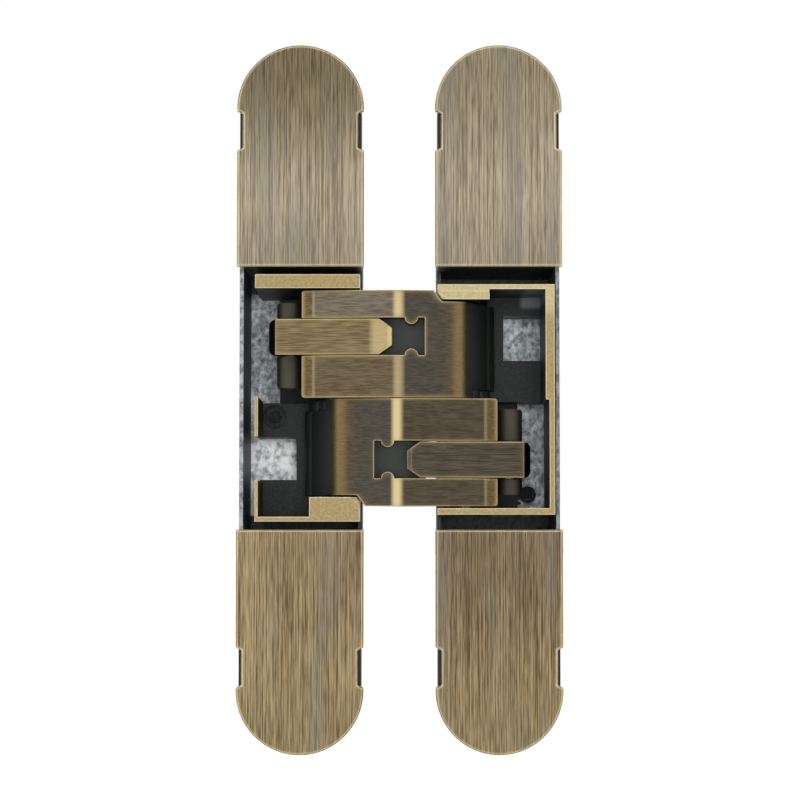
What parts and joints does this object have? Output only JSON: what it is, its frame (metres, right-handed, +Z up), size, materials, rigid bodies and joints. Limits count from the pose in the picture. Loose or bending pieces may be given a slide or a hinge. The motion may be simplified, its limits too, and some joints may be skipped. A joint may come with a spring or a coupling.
{
  "type": "concealed door hinge",
  "caption": "Concealed hinge for a flush door: two slim round-ended leaves joined by crossed forked arms and links that fold into pockets, opening flat",
  "frame": {"origin": "midway between the two leaves, in the plane of the cover plates, at half height", "axes": "+X from the frame leaf to the door leaf, +Y into the wood, +Z up along the leaves"},
  "size_m": [0.0616, 0.029, 0.134],
  "materials": {
    "cover_brass": "antique, brushed along the height",
    "arm_brass": "antique, brushed across, worn edges",
    "carrier_brass": "antique with worn rims",
    "body_zinc": "die-cast zinc, blackened, bare in the pocket",
    "pin_steel": "ground",
    "clip_steel": "blackened spring steel",
    "adjuster_steel": "blackened steel"
  },
  "bodies": {
    "frame_leaf": {"frame_leaf_body": "body_zinc", "frame_upper_cover": "cover_brass", "frame_lower_cover": "cover_brass", "frame_upper_clip": "clip_steel", "frame_lower_clip": "clip_steel"},
    "frame_carrier": {"frame_carrier": "carrier_brass", "frame_root_pin": "pin_steel", "frame_heel_pin": "pin_steel"},
    "side_adjuster": {"side_adjuster": "adjuster_steel"},
    "lower_arm": {"lower_arm": "arm_brass", "lower_tip_pin": "pin_steel", "centre_pin": "pin_steel"},
    "upper_arm": {"upper_arm": "arm_brass", "upper_tip_pin": "pin_steel"},
    "upper_link": {"upper_link": "arm_brass"},
    "lower_link": {"lower_link": "arm_brass"},
    "door_carrier": {"door_carrier": "carrier_brass", "door_root_pin": "pin_steel", "door_heel_pin": "pin_steel"},
    "door_leaf": {"door_leaf_body": "body_zinc", "door_upper_cover": "cover_brass", "door_lower_cover": "cover_brass", "door_upper_clip": "clip_steel", "door_lower_clip": "clip_steel"},
    "height_adjuster": {"height_adjuster": "adjuster_steel"}
  },
  "joints": [
    {"name": "side_adjustment", "type": "slide", "parent": "frame_leaf", "child": "frame_carrier", "axis": [1, 0, 0], "range_m": [-0.0013, 0.0002]},
    {"name": "side_adjuster_turn", "type": "hinge", "parent": "frame_carrier", "child": "side_adjuster", "pos_m": [-0.0244, 0.023, -0.00275], "axis": [0, 1, 0], "range_deg": [-11, 56]},
    {"name": "fold", "type": "hinge", "parent": "frame_carrier", "child": "lower_arm", "pos_m": [-0.01485, 0.0141, -0.0105], "axis": [0, 0, -1], "range_deg": [0, 70.8]},
    {"name": "centre_turn", "type": "hinge", "parent": "lower_arm", "child": "upper_arm", "pos_m": [0, 0.0053, 0], "axis": [0, 0, -1], "range_deg": [0, 38.4]},
    {"name": "upper_link_turn", "type": "hinge", "parent": "upper_arm", "child": "upper_link", "pos_m": [-0.02085, 0.00605, 0.0116], "axis": [0, 0, -1], "range_deg": [0, 17.6]},
    {"name": "lower_link_turn", "type": "hinge", "parent": "lower_arm", "child": "lower_link", "pos_m": [0.02085, 0.00605, -0.0116], "axis": [0, 0, 1], "range_deg": [0, 17.6]},
    {"name": "door_turn", "type": "hinge", "parent": "upper_arm", "child": "door_carrier", "pos_m": [0.01485, 0.0141, 0.0105], "axis": [0, 0, -1], "range_deg": [0, 70.8]},
    {"name": "height_adjustment", "type": "slide", "parent": "door_carrier", "child": "door_leaf", "axis": [0, 0, 1], "range_m": [-0.0027, 0.0027]},
    {"name": "height_adjuster_turn", "type": "hinge", "parent": "door_leaf", "child": "height_adjuster", "pos_m": [0.0253, 0.026, -0.0178], "axis": [0, 1, 0], "range_deg": [-106, 106]}
  ],
  "couplings": [
    {"joint": "side_adjuster_turn", "follows": "side_adjustment", "rad_per_m": -691.4},
    {"joint": "centre_turn", "follows": "fold", "ratio": 0.54237},
    {"joint": "upper_link_turn", "follows": "fold", "ratio": 0.24859},
    {"joint": "lower_link_turn", "follows": "fold", "ratio": 0.24859},
    {"joint": "door_turn", "follows": "fold", "ratio": 1},
    {"joint": "height_adjuster_turn", "follows": "height_adjustment", "rad_per_m": -666.67}
  ]
}
